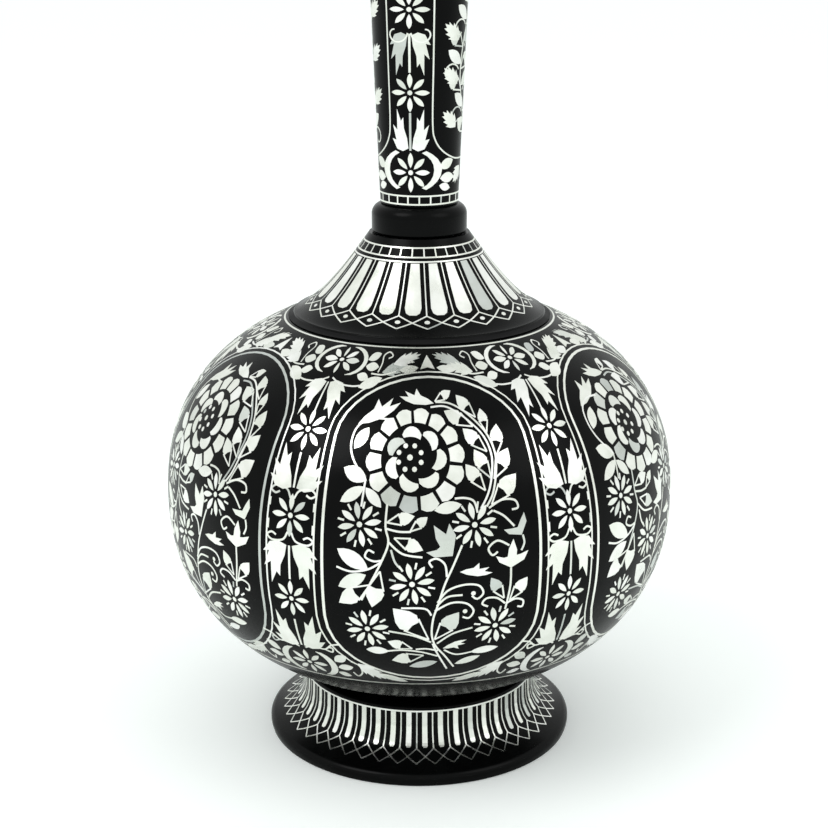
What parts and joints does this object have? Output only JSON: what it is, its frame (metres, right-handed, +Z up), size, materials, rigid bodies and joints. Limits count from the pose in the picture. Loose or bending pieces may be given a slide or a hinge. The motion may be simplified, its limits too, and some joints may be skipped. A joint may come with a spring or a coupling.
{
  "type": "inlaid bottle vase",
  "caption": "Round-bodied bottle vase of blackened cast alloy with silver inlay, tall neck and spreading foot.",
  "frame": {"origin": "middle of the foot's resting ring, on the surface it stands on", "axes": "+Z up along the turning axis, -Y towards the viewer of the picture"},
  "size_m": [0.15, 0.15, 0.305],
  "materials": {
    "blackened_alloy": "blackened zinc alloy, satin",
    "solder": "blackened soft solder",
    "silver_inlay": "hammered and burnished silver"
  },
  "bodies": {
    "root": {"foot": "blackened_alloy", "body_lower": "blackened_alloy", "body_upper": "blackened_alloy", "shoulder": "blackened_alloy", "collar": "blackened_alloy", "neck": "blackened_alloy", "mouth_ring": "blackened_alloy", "mouth_cup": "blackened_alloy", "foot_solder": "solder", "seam_solder": "solder", "shoulder_solder": "solder", "collar_solder": "solder", "mouth_solder": "solder", "globe_wire": "silver_inlay", "panel_frame_1": "silver_inlay", "panel_frame_2": "silver_inlay", "panel_frame_3": "silver_inlay", "panel_frame_4": "silver_inlay", "panel_frame_5": "silver_inlay", "panel_frame_6": "silver_inlay", "shoulder_wire": "silver_inlay", "shoulder_petal_1": "silver_inlay", "shoulder_petal_2": "silver_inlay", "shoulder_petal_3": "silver_inlay", "shoulder_petal_4": "silver_inlay", "shoulder_petal_5": "silver_inlay", "shoulder_petal_6": "silver_inlay", "shoulder_petal_7": "silver_inlay", "shoulder_petal_8": "silver_inlay", "shoulder_petal_9": "silver_inlay", "shoulder_petal_10": "silver_inlay", "shoulder_petal_11": "silver_inlay", "shoulder_petal_12": "silver_inlay", "shoulder_petal_13": "silver_inlay", "shoulder_petal_14": "silver_inlay", "shoulder_petal_15": "silver_inlay", "shoulder_petal_16": "silver_inlay", "shoulder_petal_17": "silver_inlay", "shoulder_petal_18": "silver_inlay", "shoulder_petal_19": "silver_inlay", "shoulder_petal_20": "silver_inlay", "shoulder_petal_21": "silver_inlay", "shoulder_petal_22": "silver_inlay", "shoulder_petal_23": "silver_inlay", "shoulder_petal_24": "silver_inlay"}
  },
  "joints": []
}
